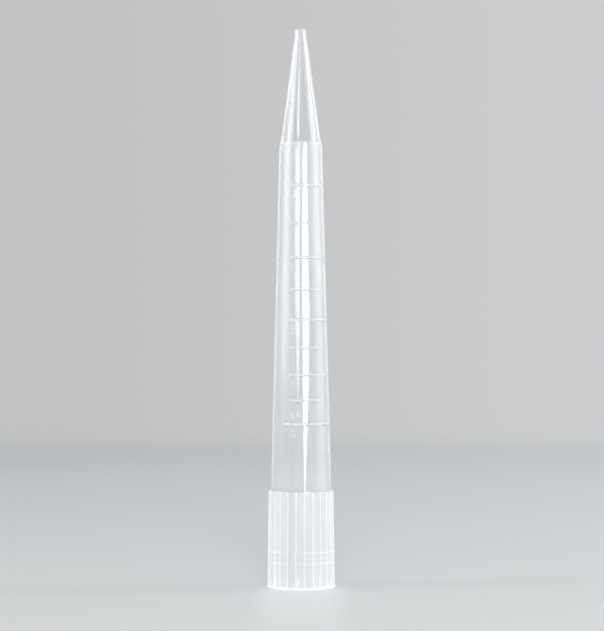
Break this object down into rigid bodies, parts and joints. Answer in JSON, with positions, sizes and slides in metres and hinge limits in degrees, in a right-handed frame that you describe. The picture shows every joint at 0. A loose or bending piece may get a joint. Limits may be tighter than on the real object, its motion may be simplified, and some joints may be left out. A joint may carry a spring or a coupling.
{
  "type": "pipette tip",
  "caption": "Clear plastic pipette tip that stands on its fluted collar: tapered graduated barrel, bevelled shoulder and slender orifice cone, open bore with a press-fit nozzle seat.",
  "frame": {"origin": "centre of the collar's open rim, on the plane that it stands on", "axes": "+Z along the bore from the collar to the orifice; -Y faces the side with the graduations"},
  "size_m": [0.0148, 0.0148, 0.12],
  "materials": {
    "clear_polypropylene": "clear, faintly milky natural polypropylene, glossy as moulded"
  },
  "bodies": {
    "root": {"pipette_tip": "clear_polypropylene"}
  },
  "joints": []
}
